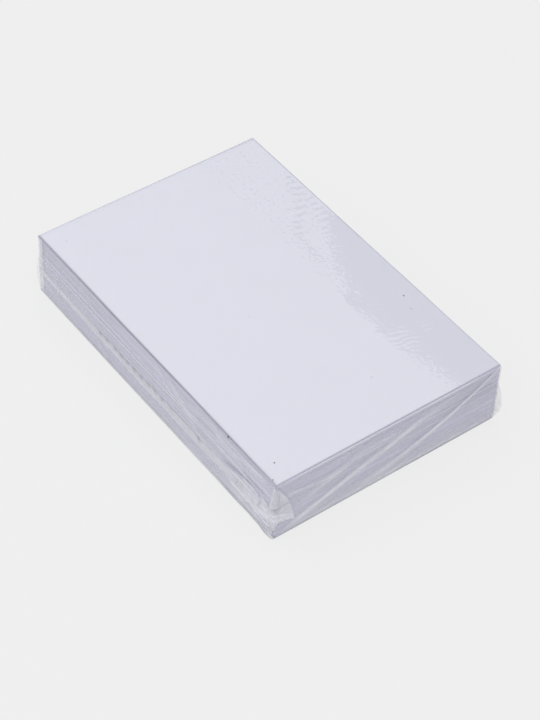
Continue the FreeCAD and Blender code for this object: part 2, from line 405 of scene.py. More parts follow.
# %% Long side
LONG_FOLDS = [
    # start, end (along Y and up), bend, width, height, milk and sheen, painted shade
    ((-38, 8.0), (-8, 27.0), 1.0, (3.2, 2.0), 0.20, 0.25, 0),
    ((-15, 18.0), (-2, 26.5), 0.4, (1.5, 1.2), 0.12, 0.24, 0),
    ((28, 1.5), (47, 13.0), 0.5, (1.6, 1.4), 0.12, 0.18, 0),
    ((34, 19.0), (47, 27.0), 0.5, (2.0, 1.8), 0.08, 0.12, 0),
    ((-72, 23.8), (-30, 25.5), 0.5, (2.2, 1.6), 0.12, 0.29, 0),
    ((-72, 26.3), (-48, 21.5), 0.5, (1.0, 1.4), 0.08, 0.28, 0),
    ((-46, 22.6), (-10, 22.6), 0.0, (3.0, 2.6), 0, 0.28, 0),
    ((-56, 21.2), (-40, 22.4), 0.0, (1.6, 1.8), 0, 0.36, 0),
    ((-64, 18.8), (22, 19.3), 0.0, (0.95, 0.6), 0, 0.46, 0),
    ((-42, 5.0), (-24, 5.5), 0.0, (3.0, 2.6), 0, 0.16, 0),
    ((-65, 17.0), (-45.5, 13.9), 0.2, (0.45, 0.9), 0, 0, 0.26),
    ((-41, 22.2), (-27, 21.2), 0.0, (1.2, 1.0), 0, 0, 0.12),
    ((-70, 17.8), (-57, 18.1), 0.0, (0.3, 0.3), 0, 0, 0.22),
    ((20, 24.0), (76, 24.0), 0.0, (3.5, 4.5), 0, 0, 0.05),
    # painted shade: the dark line just under the top edge
    ((-76, 28.45), (76, 28.45), 0.0, (0.38, 0.40), 0, 0, 0.34),
    ((-20, 28.2), (30, 28.1), 0.0, (0.4, 0.6), 0, 0, 0.08),
    ((-76, 27.2), (-28, 27.4), 0.0, (0.3, 0.3), 0, 0, 0.16),
    # painted shade above the ledge where the lower lot of sheets stands out, then a painted highlight on
    # the ledge
    ((-75, 17.9), (76, 18.9), 0.0, (0.28, 0.28), 0, 0, 0.12),
    ((-75, 17.2), (76, 18.2), 0.0, (0.34, 0.34), 0, 0.80, 0),
    ((-74.5, 17.6), (-69.5, 18.4), 0.0, (0.3, 0.3), 0, 0.60, 0),
    ((-66, 3.2), (40, 3.2), 0.0, (2.8, 2.4), 0, 0.24, 0),
    ((-58, 4.0), (-42, 5.0), 0.0, (2.2, 2.0), 0, 0.34, 0),
    ((-70, 2.2), (-38, 2.4), 0.0, (1.2, 1.0), 0, 0.42, 0),
    ((-40, 2.0), (12, 1.8), 0.0, (0.7, 0.7), 0, 0.22, 0),
    # painted shade: the dark contact line along the foot, darkest near the folded ear
    ((-76, 0.7), (-44, 0.55), 0.0, (0.45, 0.40), 0, 0, 0.48),
    ((-52, 0.5), (40, 0.45), 0.0, (0.45, 0.40), 0, 0, 0.32),
    ((36, 0.4), (76, 0.35), 0.0, (0.4, 0.35), 0, 0, 0.16),
    ((-76.4, 1.8), (-75.4, 1.7), 0.0, (0.4, 0.35), 0, 0, 0.40),
    ((-68.4, 13.2), (-66.4, 9.6), 0.0, (1.2, 1.0), 0, 0, 0.45),
    ((-60, 8.2), (-45, 8.2), 0.0, (1.0, 1.0), 0, 0.30, 0),
    ((56, 4.5), (78, 4.5), 0.0, (3.0, 3.0), 0, 0.15, 0),
    # wrinkles that sweep into the folded ear
    ((-75, 11.2), (-63, 6.0), -0.6, (0.5, 0.3), 0.10, 0.80, 0),
    ((-75, 8.8), (-62, 6.8), -0.8, (0.4, 0.3), 0.06, 0.50, 0),
    ((-75, 5.0), (-63.5, 6.2), -0.9, (0.5, 0.3), 0.08, 0.55, 0),
    ((-75, 13.0), (-64, 10.0), -0.5, (0.5, 0.4), 0.05, 0.40, 0),
]
CRUMPLE_Y = [-76, -74, -70, -66, -63, -57, -52, -47, -42]
CRUMPLE_LOW = [0.6, 1.2, 2.8, 3.4, 4.9, 5.2, 5.8, 7.0, 7.4]
CRUMPLE_HIGH = [15.5, 15.2, 15.6, 16.3, 16.0, 15.7, 13.8, 12.2, 10.8]
FAN_ROOT = (-80.0, 8.0)
SEAL_Y = [-45, -32, -17, 12, 27, 42, 57, 76]
SEAL_MIDDLE = [9.9, 9.5, 9.65, 9.75, 10.2, 10.3, 11.0, 11.5]
SEAL_HALF = [2.3, 2.3, 2.45, 2.25, 2.0, 1.75, 1.45, 1.4]
FOOT_Y = [-76.3, -75, -72, -68, -62, -55, -45, -30, 0, 30, 60, 70]
FOOT_OUT = [0.65, 1.05, 1.15, 0.66, 0.45, 0.55, 0.45, 0.45, 0.42, 0.36, 0.26, 0.1]


def crumple_share(y, z):
    """Nought to one: how crumpled the film is near the folded ear, between a low and a high line."""
    low, high = np.interp(y, CRUMPLE_Y, CRUMPLE_LOW), np.interp(y, CRUMPLE_Y, CRUMPLE_HIGH)
    wander = 0.4 * waves(y, z, 16, 7.0)
    inside = step_up(z - low + wander, -0.8, 1.0) * step_up(high - z + wander, -1.2, 2.2)
    past_flap = step_up(-y - 75.0 - (z - 1.5) / 3.0, -0.2, 0.3) * step_up(-z, -7.0, -6.0)
    return inside * step_up(-y, 38, 47) * (1 - past_flap)


def foot_spread(y, z):
    """How far the film's foot spreads over the floor past the left side, in millimetres."""
    return np.interp(y, FOOT_Y, FOOT_OUT) * step_up(-z, -3.0, 0.0) ** 1.5


def fan_creases(y, z, seed):
    """Soft creases like the ribs of a fan, nought to one."""
    angle = np.arctan2(z - FAN_ROOT[1], np.abs(y - FAN_ROOT[0]) + 2.0)
    reach = np.hypot(z - FAN_ROOT[1], y - FAN_ROOT[0])
    ribs = np.abs(waves(reach, angle * 20, seed, 7.5, 3.0))
    return np.clip(1 - ribs / 0.9, 0, 1) ** 1.5


def long_side(y, z):
    """Height, milk and sheen, and painted shade of the film on the -X side."""
    height, milk_and_sheen, painted_shade = lay_folds(y, z, LONG_FOLDS)
    crumple = crumple_share(y, z)
    creases = fan_creases(y, z, 13)
    crumple_height = crumple * (0.26 + 0.05 * creases) * (1 - 0.8 * step_up(-y, 71.5, 74.5))
    height = height + 0.03 * (1 + waves(y, z, 12, 6.0, 9.0)) + crumple_height
    streaks = (0.05 + 0.04 * step_up(-y, -10, 30)) * (1 + waves(y, z, 15, 1.8, 30.0))
    corner_fold = step_up(y, 72.6, 73.8) * (0.75 + 0.25 * step_up(np.abs(z - 19.5), 0.5, 2.0))
    above_seal = z - np.interp(y, SEAL_Y, SEAL_MIDDLE) - np.interp(y, SEAL_Y, SEAL_HALF)
    thin = 1 - 0.55 * step_up(-z, -6.5, -4.0) * step_up(-y, 63, 67)
    ruffle = 0.03 * waves(y, z, 17, 3.2)
    crumple_milk_and_sheen = 0.64 + 0.26 * bell(y, -49, 6) + 0.10 * creases + ruffle
    milk_and_sheen = milk_and_sheen + streaks + crumple * thin * crumple_milk_and_sheen
    milk_and_sheen = milk_and_sheen + 0.66 * corner_fold * step_up(z, -2, 3)
    # milk just above the seal: partly the hazy margin of the weld, partly painted light that lifts the
    # shadow the strip casts on the paper behind it
    milk_and_sheen = milk_and_sheen + 0.50 * bell(above_seal, 0.15, 0.95) * step_up(y, -50, -42)
    milk_and_sheen = milk_and_sheen + 0.20 * step_up(-y, 48, 60) * step_up(-z, -10.0, -3.0) * (1 - crumple)
    # painted shade where the film's foot spreads out over the floor
    painted_shade = painted_shade + 0.14 * step_up(foot_spread(y, z), 0.35, 0.8)
    return height, np.clip(milk_and_sheen, 0, 0.9), np.clip(painted_shade, 0, 0.9)


# %% [markdown]
# ## The film on top
# On top the film looks flat, but it mirrors the edge of a lamp's panel, and a mirror shows slopes
# far too small to see any other way. Where the film rises by one part in a thousand along one
# direction, the mirrored edge moves by about a millimetre. So we work backwards. First we say how far
# each point should be past the mirrored edge, in a map of millimetres: below nought is bright and
# above nought is dark. Then the slope along that direction follows, and adding up the slopes gives
# the height. Teeth in the map are ripples in the film. The very finest ripples are added to the
# height itself, because the skin's grid is too coarse to carry them through the map.

# %% Map of the mirrored edge
SLOPE_REACH = 1044.0
FLAT_EDGE = 30.0
REACH_WAY = (0.950, 0.313)
EDGE_Y = [
    -76, -60, -50, -42, -30, -25, -22, -18, -16.5, -15, -10, 0, 5, 10, 15, 20, 26, 33, 38, 54, 60,
]
EDGE_X = [
    31, 29.5, 27.5, 26, 26, 25, 23.5, 22, 22.6, 28, 30, 33, 35, 38, 40.5, 43, 46, 47.5, 48.5, 51, 62,
]
REST_Y = [-76, -45, -10, 15, 60]
REST_X = [31, 27, 28.5, 38, 62]
COMB_Y = [0, 5, 12, 18, 22.5, 26, 30, 33, 36.5, 40, 44, 50]
COMB_X = [29.5, 30, 30, 31, 33, 35, 39.5, 41.5, 45, 46.5, 48, 50]


def teeth(x, y, pitch, lean, sharp):
    """A comb of teeth nearly along X, nought to one, as narrow as sharp makes them."""
    wobble = 0.8 * waves(x, y, 23, 16.0, 2.0, 12)
    return (0.5 + 0.5 * np.cos(2 * math.pi * (y + lean * x + wobble) / pitch)) ** sharp


def past_edge(x, y):
    """How far past the mirrored edge each point is, in millimetres. Above nought is dark."""
    edge = np.interp(y, EDGE_Y, EDGE_X)
    # well past the edge the film calms down
    edge = edge + (np.interp(y, REST_Y, REST_X) - edge) * step_up(x - edge, 3, 9)
    comb = teeth(x, y, 3.5, 0.22, 2)
    past = x - edge + 8.0 * (comb - 0.35) * step_up(y, 8, 16) * bell(x, edge, 3.5)
    inner = np.interp(y, COMB_Y, COMB_X)
    length = 2.0 + 2.2 * step_up(y, 24, 32)
    ribs = 10.0 * comb * step_up(y, 15, 24) + 5.5 * teeth(x, y, 2.4, 0.5, 1) * bell(y, 10, 8)
    past = np.maximum(past, ribs * bell(x, inner, length) * step_up(-y, -54, -50) - 3.0)
    past = past + 13.0 * bell(y + 0.3 * (x - 24), -37.2, 0.65) * bell(x, 23, 3.6)
    past = past + 8.0 * np.clip(waves(x, y, 24, 1.8) - 0.5, 0, 1.4) * bell(x, 31, 1.6) * bell(y, 10, 6)
    return past + (0.7 + 0.5 * step_up(-y, -10, 0)) * waves(x, y, 21, 2.4, 1.4, 16)


# %% From slopes to a height
LIFT_START = 22.0
LEAN = REACH_WAY[1] / REACH_WAY[0]
map_x = np.linspace(LIFT_START, half_x, 240)
map_side = np.linspace(-100.0, 70.0, 700)
RIPPLE_HEIGHT = 0.015
PATCH_HEIGHT = 0.0013
TOP_GAP = 0.13  # between the top sheet and the film, where no ripple is


def add_up_slopes():
    """Heights of the film on a leaning grid: map_x by map_side, where side is y - LEAN * x."""
    x, side = np.meshgrid(map_x, map_side, indexing="ij")
    slope = (x - FLAT_EDGE - past_edge(x, side + LEAN * x)) / SLOPE_REACH
    slope *= step_up(x, LIFT_START, LIFT_START + 4)
    return np.cumsum(slope, axis=0) * (map_x[1] - map_x[0]) / REACH_WAY[0]


lift_map = add_up_slopes()


def low_ripples(x, y):
    """Fine ripples near the mirrored edge's lower part: a comb of waves, and a patch of soft noise."""
    window = bell(x, 31, 5.0) * bell(y, -45, 6.5) + 1.5 * bell(x, 41, 3.6) * bell(y, -46, 4.5)
    comb = np.cos(2 * math.pi * (y + 0.28 * x + 0.4 * waves(x, y, 26, 9.0)) / 2.2)
    noise = waves(x, y, 25, 2.0) * bell(x, 26.5, 3.0) * bell(y, -30, 9)
    return RIPPLE_HEIGHT * window * comb + PATCH_HEIGHT * noise


def top_height(x, y):
    """How far the film stands off the top sheet, read between the points of the leaning grid."""
    x = np.clip(x, map_x[0], map_x[-1] - 0.001)
    a = (x - map_x[0]) / (map_x[1] - map_x[0])
    b = (y - LEAN * x - map_side[0]) / (map_side[1] - map_side[0])
    i, j = a.astype(int), b.astype(int)
    a, b = a - i, b - j
    near = lift_map[i, j] * (1 - b) + lift_map[i, j + 1] * b
    far = lift_map[i + 1, j] * (1 - b) + lift_map[i + 1, j + 1] * b
    return TOP_GAP + near * (1 - a) + far * a + low_ripples(x, y)


print(f"film lifts off the top sheet by {lift_map.min():.2f} to {lift_map.max():.2f} mm")

# %% Build the skin
EDGE_RADIUS = 0.3
SIDE_GRAIN = 0.15  # the grain's strength on the sides, where one is its strength on top
EDGE_LINES = np.array([0, 0.08, 0.17, 0.30, 0.65])
ACROSS = [(-half_x + 1.1, 14.0, 40), (14.6, half_x - 1.1, 58)]
ALONG = [(-half_y + 1.1, half_y - 1.1, 286)]
BOTTOM = 1  # the number of the lower grid among the box's six
UPWARDS = [(1.1, 15.9, 29), (16.2, 18.8, 13), (19.2, 25.6, 12), (25.9, top_z - 1.1, 7)]


def grid_lines(low, high, stretches):
    """Positions of the grid lines along one side of the box: five at each edge, and even stretches
    between, which lie closer together where the film has fine lines.
    """
    inner = np.concatenate([np.linspace(*stretch) for stretch in stretches])
    return np.concatenate([low + EDGE_LINES, inner, (high - EDGE_LINES)[::-1]])


def top_painted_shade(x, y):
    """Painted shade on top of the film: dark lines along its left, near and right edges, where the
    rounded rim mirrors the dark room and shade falls under it.
    """
    left_line = -half_x + 0.15 + 0.22 * step_up(y, 15, 50)
    left = 0.46 * bell(x, left_line, 0.36) * (0.6 + 0.4 * step_up(y, -62, -10))
    near = 0.50 * bell(y, -half_y + 0.46, 0.19)
    right = 0.10 * bell(x, half_x - 0.35, 0.30)
    return np.maximum(np.maximum(left, near), right)


def top_milk_and_sheen(x, y):
    """How much milk and sheen the film has on top: only its far and right rims, where it is drawn tight.
    """
    return 0.70 * bell(y, half_y, 0.60) + 0.5 * bell(x, half_x, 0.30)


def skin_point(x, y, z):
    """Move points of the plain box onto the film. Gives place, milk and sheen, painted shade and grain.
    """
    half = np.array([half_x, half_y, top_z / 2])
    flat = np.stack(np.broadcast_arrays(x, y, z - top_z / 2), axis=-1)
    core = np.clip(flat, -(half - EDGE_RADIUS), half - EDGE_RADIUS)
    out = flat - core
    out /= np.linalg.norm(out, axis=-1, keepdims=True)
    rounded = core + EDGE_RADIUS * out
    px, py, pz = rounded[..., 0], rounded[..., 1], rounded[..., 2] + top_z / 2
    sides = [
        (np.clip(-out[..., 0], 0, 1) ** 2, long_side(py, pz)),
        (np.clip(out[..., 0], 0, 1) ** 2, long_side(-py * 0.95 - 2, pz)),
        (np.clip(-out[..., 1], 0, 1) ** 2, short_side(px, pz)),
        (np.clip(out[..., 1], 0, 1) ** 2, short_side(-px * 0.9 + 3, pz)),
    ]
    calm = step_up(-px, half_x - 4.0, half_x - 1.0) * step_up(py, half_y - 4.0, half_y - 1.5)
    height, milk_and_sheen, painted_shade = (sum(share * side[k] for share, side in sides) for k in range(3))
    foot = step_up(pz, -0.3, 0.8)
    up = np.clip(out[..., 2], 0, 1) ** 2
    lift = foot * height * (1 - 0.85 * calm) + up * top_height(px, py)
    # painted shade: dark lines along the edges of the top
    painted_shade = painted_shade + up * top_painted_shade(px, py)
    milk_and_sheen = milk_and_sheen + up * top_milk_and_sheen(px, py)
    grain = SIDE_GRAIN + (1 - SIDE_GRAIN) * up
    place = np.stack([px, py, pz], axis=-1) + lift[..., None] * out
    # the top sheets lie a little to the left, the far rim stands out, and the foot spreads
    high = step_up(pz, 26.8, 28.4)
    place[..., 0] -= (0.40 + 0.25 * step_up(py, -20, 30)) * high * step_up(px, half_x - 2.0, half_x)
    place[..., 1] += 0.25 * high * step_up(py, half_y - 1.5, half_y)
    place[..., 0] -= foot_spread(py, pz) * step_up(-px, half_x - 1.1, half_x - 0.2)
    return place, milk_and_sheen, painted_shade, grain


def make_skin():
    """The whole skin: grids over the sides of a box, moved onto the film and welded."""
    xs = grid_lines(-half_x, half_x, ACROSS)
    ys = grid_lines(-half_y, half_y, ALONG)
    zs = grid_lines(0, top_z, UPWARDS)
    grids = [np.meshgrid(xs, ys, [z], indexing="ij") for z in (top_z, 0.0)]
    grids += [np.meshgrid(xs, [y], zs, indexing="ij") for y in (-half_y, half_y)]
    grids += [np.meshgrid([x], ys, zs, indexing="ij") for x in (-half_x, half_x)]
    parts, faces, start = [], [], 0
    for number, grid in enumerate(grids):
        rows, columns = (n for n in grid[0].shape if n > 1)
        x, y, z = (part.reshape(rows, columns) for part in grid)
        parts.append([np.reshape(part, (rows * columns, -1)) for part in skin_point(x, y, z)])
        quads = grid_faces(rows, columns, start=start)
        if number == BOTTOM:
            quads, base = open_middle(quads, rows, columns, start)
            faces.append(base)
        faces += quads.tolist()
        start += rows * columns
    points, milk_and_sheen, painted_shade, grain = (np.concatenate(column) for column in zip(*parts))
    values = {"milk_and_sheen": milk_and_sheen, "painted_shade": painted_shade, "grain": grain}
    piece = make_piece("film_skin", points, faces, values, weld=0.001)
    smooth(piece)
    return piece


def open_middle(quads, rows, columns, start):
    """Keep only the outer rows of quads of a grid, and give the loop that fills its middle."""
    r, c = np.divmod(quads - start, columns)
    border = len(EDGE_LINES)
    middle = ((r >= border) & (r < rows - border) & (c >= border) & (c < columns - border)).all(axis=1)
    low_r, high_r, low_c, high_c = border, rows - border - 1, border, columns - border - 1
    across, along = np.arange(low_c, high_c), np.arange(low_r, high_r)
    loop = np.concatenate([
        low_r * columns + across,
        along * columns + high_c,
        high_r * columns + across[::-1] + 1,
        (along[::-1] + 1) * columns + low_c,
    ])
    return quads[~middle], (loop + start).tolist()


film_skin = make_skin()
print("film skin:", len(film_skin.data.polygons), "faces")

# %% [markdown]
# ## Walking round the pack
# The seal, the folded ear and the ears at the corners all lie on the upright sides and bend round
# the corners. So we need one way to say where such a piece is: how far along the walk round the
# pack, how high, and how far off the paper. The walk starts at the near left corner, goes along the
# left side to the far end, then along the far side, and comes back along the right side.

# %% Points on the walk
TURN = 0.5


def walk_point(along, z, off):
    """Places on the walk, off millimetres outside the box of the paper.

    along counts from the near left corner: up to twice half_y it is on the left side. Below
    nought it is on the short near side.
    """
    lengths = np.array([2 * half_y, 2 * half_x, 2 * half_y, 2 * half_x])
    starts = np.concatenate([[-lengths[3]], np.cumsum(lengths) - lengths])
    corners = np.array([[1, -1], [-1, -1], [-1, 1], [1, 1], [1, -1]]) * [half_x, half_y]
    heads = np.array([[-1, 0], [0, 1], [1, 0], [0, -1], [-1, 0]], float)
    outs = np.array([[0, -1], [-1, 0], [0, 1], [1, 0], [0, -1]], float)
    side = np.clip(np.searchsorted(starts, along, side="right") - 1, 0, 4)
    run = along - starts[side]
    length = np.append(lengths[3], lengths)[side]
    # turn the outward direction gradually within TURN of each corner
    lead = np.clip(0.5 - run / (2 * TURN), 0, 0.5) * math.pi / 2
    tail = np.clip(0.5 - (length - run) / (2 * TURN), 0, 0.5) * math.pi / 2
    angle = (tail - lead)[..., None]
    out = outs[side] * np.cos(angle) + heads[side] * np.sin(angle)
    straight = np.clip(run, TURN, length - TURN)[..., None]
    centre = corners[side] + heads[side] * straight - outs[side] * TURN
    place = centre + out * (TURN + np.asarray(off)[..., None])
    return np.concatenate([place, np.broadcast_to(z, along.shape)[..., None]], axis=-1)


def skin_height(along, z):
    """How far the skin of film stands off the box at places on the walk."""
    left = long_side(along - half_y, z)[0]
    far = short_side(-(along - 2 * half_y - half_x) * 0.9 + 3, z)[0]
    right = long_side(-(2 * half_y + 2 * half_x + half_y - along) * 0.95 - 2, z)[0]
    near = short_side(-along - half_x, z)[0]
    far_end = 2 * half_y + 2 * half_x
    before = [along < 0, along < 2 * half_y, along < far_end]
    height = np.select(before, [near, left, far], right)
    spread = np.where((along >= 0) & (along < 2 * half_y), foot_spread(along - half_y, z), 0.0)
    return height * step_up(z, -0.3, 0.8) + spread


# %% [markdown]
# ## The seal
# The wrapping machine welds two sheets of film together along a line and trims them, which leaves a
# narrow doubled strip that runs round three sides. Shrinking pulls its upper edge into small
# gathers, and the shade in each gather's little pocket is painted on as a dark patch.

# %% Seal strip
SEAL_LAYER = 0.05
GATHERS = np.array([33, 28.5, 23, 19, 15, 10.5, 6, 1, -3, -7.5, -13, -31])


def make_seal():
    """A thin closed strip on the left, far and right sides."""
    length = 4 * half_y + 2 * half_x
    along = np.linspace(18.0, length - 18.0, 840)[:, None]
    across = np.linspace(-1, 1, 15)[None, :]
    right = along > 2 * half_y + 2 * half_x
    y = np.where(along < 2 * half_y, along - half_y, half_y)
    y = np.where(right, 3 * half_y + 2 * half_x - along, y)
    middle = np.interp(y, SEAL_Y, SEAL_MIDDLE)
    width = np.interp(y, SEAL_Y, SEAL_HALF)
    z = middle + width * across + 0.08 * waves(along, across, 32, 14.0)
    gather = np.sum(bell((y - 0.7 * across)[..., None], GATHERS, 1.25), axis=-1)
    gather = gather * (1 - 0.6 * bell(y, -13, 6))
    off = skin_height(along, z) + 0.05 + 0.05 * (1 - across ** 2)
    off = off + 0.06 * gather * bell(across, 0.6, 0.4)
    inner = walk_point(along + 0 * z, z, off)
    outer = walk_point(along + 0 * z, z, off + SEAL_LAYER)
    plain = 0.60 + 0.02 * waves(along, across, 34, 4.0, 3.0) + 0.06 * bell(across, -0.9, 0.2)
    clear_top = step_up(across, 0.3, 0.55) * step_up(-y, -44, -34) * step_up(y, -42, -36)
    milk_and_sheen = plain * step_up(y, -60, -48) * (1 - 0.10 * clear_top)
    milk_and_sheen = milk_and_sheen * (1 - 0.2 * step_up(across, 0.7, 1.0))
    # painted shade: a small dark patch in each gather's pocket, near the strip's upper edge
    painted_shade = 0.42 * np.clip(gather, 0, 1) * bell(across, 0.66, 0.34)
    return film_sheet("seal_strip", inner, outer, np.clip(milk_and_sheen, 0, 1), painted_shade)


seal_strip = make_seal()
print("seal strip:", len(seal_strip.data.polygons), "faces")

# %% [markdown]
# ## The folded ear
# Where the seal ends, a pointed ear of spare film sticks out from the corner. On this corner it was
# pressed flat against the short side. It is a crumpled double sheet: it starts on the long side
# just before the corner, goes round it, and ends in a tip that points at the short side's middle.
# We build it as rays that start on the corner's edge and end on the ear's outline.

# %% Folded ear
EAR_OUTLINE = [
    # how far round the short side the outline is, its height, and the height of the ray's root
    (0.0, 27.9, 27.9), (1.3, 25.9, 26.6), (4.8, 19.6, 22.0), (6.4, 14.9, 17.5), (7.5, 11.5, 14.0),
    (8.2, 8.4, 11.6), (8.4, 6.3, 9.8), (6.0, 7.6, 9.2), (3.1, 8.2, 8.8), (1.1, 8.5, 8.4),
    (0.0, 5.9, 6.2), (-0.6, 3.9, 4.1), (-1.3, 1.5, 1.6),
]
EAR_FOLDS = [
    # start, end (round the corner and up), bend, width, height, milk and sheen, painted shade
    ((-2.8, 13.2), (6.3, 16.2), 2.3, (0.45, 0.24), 0, 0, 0.40),
    ((-1.0, 14.6), (1.2, 15.2), 0.0, (0.4, 0.4), 0, 0, 0.16),
    ((-2.6, 11.6), (6.5, 10.0), 1.4, (0.35, 0.3), 0.10, 0.30, 0),
    ((-2.6, 9.4), (7.4, 8.4), 0.9, (0.40, 0.35), 0.10, 0.30, 0),
    ((1.4, 14.2), (3.2, 14.8), 0.0, (0.35, 0.35), 0.05, 0.40, 0),
    ((0.4, 25.0), (1.6, 17.6), 0.0, (0.8, 0.8), 0, 0, 0.10),
    ((2.2, 21.5), (4.8, 17.8), 0.0, (0.5, 0.5), 0.04, 0.12, 0),
    ((6.7, 9.0), (7.7, 7.8), 0.0, (0.5, 0.4), 0.10, 0.50, 0),
    ((3.2, 9.8), (3.9, 9.5), 0.0, (0.3, 0.3), 0, 0, 0.25),
    ((1.0, 12.1), (1.7, 11.9), 0.0, (0.3, 0.3), 0, 0, 0.25),
]
EAR_LAYER = 0.05
BAND_AT = [-2.8, 0.2, 2.3, 4.5, 6.7, 8.3]
BAND_MIDDLE = [9.5, 10.8, 10.5, 9.3, 8.5, 7.6]
BAND_HALF = [1.8, 2.5, 2.3, 1.7, 1.4, 1.2]


def make_folded_ear():
    """A thin closed sheet of crumpled film, wrapped round the near left corner."""
    outline = np.array(EAR_OUTLINE)
    place = np.linspace(0, len(outline) - 1, 170)
    known = np.arange(len(outline))
    reach, tip_z, root_z = (np.interp(place, known, column)[:, None] for column in outline.T)
    share = np.concatenate([np.linspace(-1, 0, 16)[:-1], np.linspace(0, 1, 44)])[None, :]
    front, back = np.clip(share, 0, 1), np.clip(-share, 0, 1)
    begin = np.interp(root_z, [1, 15, 28], [2.6, 3.8, 1.9])
    bend_at = np.interp(reach, [-1.3, 1.2], [1.9, 0.0])
    along = np.where(share < 0, bend_at + (begin - bend_at) * back, bend_at - (reach + bend_at) * front)
    z = root_z + (tip_z - root_z) * front - np.minimum(1.9, 0.3 * root_z) * back
    z = z + 0.12 * front * waves(along, z, 45, 6.0)
    tall, folded, painted_shade = lay_folds(-along, z, EAR_FOLDS)
    ribs = np.clip(1 - np.abs(waves(share * 3, place[:, None] * 2.2, 41, 2.4, 2.5)) / 0.5, 0, 1)
    rest = skin_height(along, z)
    body = step_up(share, -1.0, -0.4)
    off = rest + 0.08 + body * (0.18 + tall + 0.05 * ribs * step_up(z, 4, 8)) + 0.5 * front * (1 - front)
    inner, outer = walk_point(along, z, off), walk_point(along, z, off + EAR_LAYER)
    middle, half = np.interp(-along, BAND_AT, BAND_MIDDLE), np.interp(-along, BAND_AT, BAND_HALF)
    band = step_up(half - np.abs(z - middle), -1.0, 0.7)
    ruffle = 0.03 * waves(-along, z, 47, 2.6)
    milk_and_sheen = 0.54 + 0.09 * step_up(front, 0.1, 0.5) + 0.20 * band + 0.03 * ribs + 0.6 * folded
    # painted highlight: a thin bright line along the ear's free edge
    milk_and_sheen = milk_and_sheen + 0.25 * bell(front, 1.0, 0.04) * step_up(z, 4.0, 7.0)
    milk_and_sheen = milk_and_sheen + ruffle * (0.4 + band) - 0.06 * step_up(along, -1.6, -1.0) * step_up(z, 17, 19)
    milk_and_sheen = milk_and_sheen * step_up(share, -1.05, -0.75) * (0.40 + 0.60 * step_up(z, 5.0, 8.2))
    milk_and_sheen = milk_and_sheen * (1 - 0.8 * step_up(z, 26.0, 27.6))
    return film_sheet("folded_ear", inner, outer, np.clip(milk_and_sheen, 0, 0.9), painted_shade)


folded_ear = make_folded_ear()
print("folded ear:", len(folded_ear.data.polygons), "faces")

# %% [markdown]
# ## The standing ears
# At the other three corners the spare film still stands out: a flat little pocket in line with the long
# side, widest low down and fading out above. Each is two layers that meet along the free edge.

# %% Standing ears
EAR_SHAPE_Z = [0.6, 2.5, 5.0, 8.5, 12.0, 15.0, 18.0]
EAR_SHAPE_OUT = [0.0, 0.9, 2.1, 2.6, 2.2, 1.3, 0.0]


def make_ear(name, sign_x, sign_y, size, seed):
    """A lens-shaped pocket of film in line with a long side, standing out past a short side."""
    z = np.linspace(EAR_SHAPE_Z[0], EAR_SHAPE_Z[-1], 40)[:, None]
    share = np.linspace(0, 1, 14)[None, :]
    out = np.interp(z, EAR_SHAPE_Z, EAR_SHAPE_OUT) * size
    out = np.maximum(out + 0.08 * waves(z, 0 * z, seed, 7.0), 0.02)
    y = sign_y * (half_y - 0.4 + (out + 0.4) * share)
    z = z + 0 * share
    thick = 0.02 + 0.25 * np.sqrt(1 - share) * step_up(out, 0, 1.2)
    sway = 0.04 * waves(out * share, z, seed + 1, 7.0) + 0.20 * out * share
    x = sign_x * (half_x - 0.1 + sway)
    inner, outer = (np.stack([x + turn * thick, y + 0 * x, z], axis=-1) for turn in (-1, 1))
    milk_and_sheen = (0.11 + 0.02 * waves(out * share, z, seed + 2, 6.0)) * (1 - 0.7 * share ** 3)
    return film_sheet(name, inner, outer, np.clip(milk_and_sheen, 0, 1), np.zeros(z.shape))


standing_ears = [
    make_ear("ear_far_left", -1, 1, 0.6, 51),
    make_ear("ear_far_right", 1, 1, 1.0, 54),
    make_ear("ear_near_right", 1, -1, 1.0, 57),
]
print("ears:", [ear.name for ear in standing_ears])

# %% [markdown]
# ## Dust
# Clear film is charged when it comes off the roll, so it always holds a few flecks of lint. They
# are tiny, but without them the top looks like a computer's idea of a surface.

# %% Flecks
FLECKS = [
    # place, and half its size along X, Y and up
    ((-45.6, -67, 28.80), (0.26, 0.20, 0.08)), ((44, -28, 28.85), (0.25, 0.19, 0.08)),
    ((42, -35, 28.85), (0.15, 0.13, 0.06)), ((8, -54, 28.80), (0.17, 0.14, 0.06)),
    ((-10.5, -4.5, 28.80), (0.20, 0.12, 0.06)), ((-50.7, -73, 28.80), (0.22, 0.20, 0.10)),
    ((-44, 67.5, 28.80), (0.15, 0.12, 0.06)), ((-51.55, -47.8, 28.3), (0.12, 0.24, 0.75)),
]


def make_dust():
    """All flecks as one mesh of small rough lumps."""
    rng = np.random.default_rng(61)
    shape = bmesh.new()
    for place, size in FLECKS:
        made = bmesh.ops.create_icosphere(shape, subdivisions=2, radius=1.0)["verts"]
        for vert in made:
            rough = 1 + rng.normal(0, 0.16)
            vert.co = Vector([(p + v * h * rough) * MM for p, v, h in zip(place, vert.co, size)])
    mesh = bpy.data.meshes.new("dust")
    shape.to_mesh(mesh)
    shape.free()
    piece = bpy.data.objects.new("dust", mesh)
    bpy.context.scene.collection.objects.link(piece)
    smooth(piece)
    return piece


dust = make_dust()
print("flecks of dust:", len(FLECKS))

# %% [markdown]
# ## Materials
# Paper first: the face of photo paper is coated, cool white and slightly glossy. The cut
# edges are duller and a little darker. One material does both, because the face points up and the
# edges point sideways.

# %% Small helpers for node trees


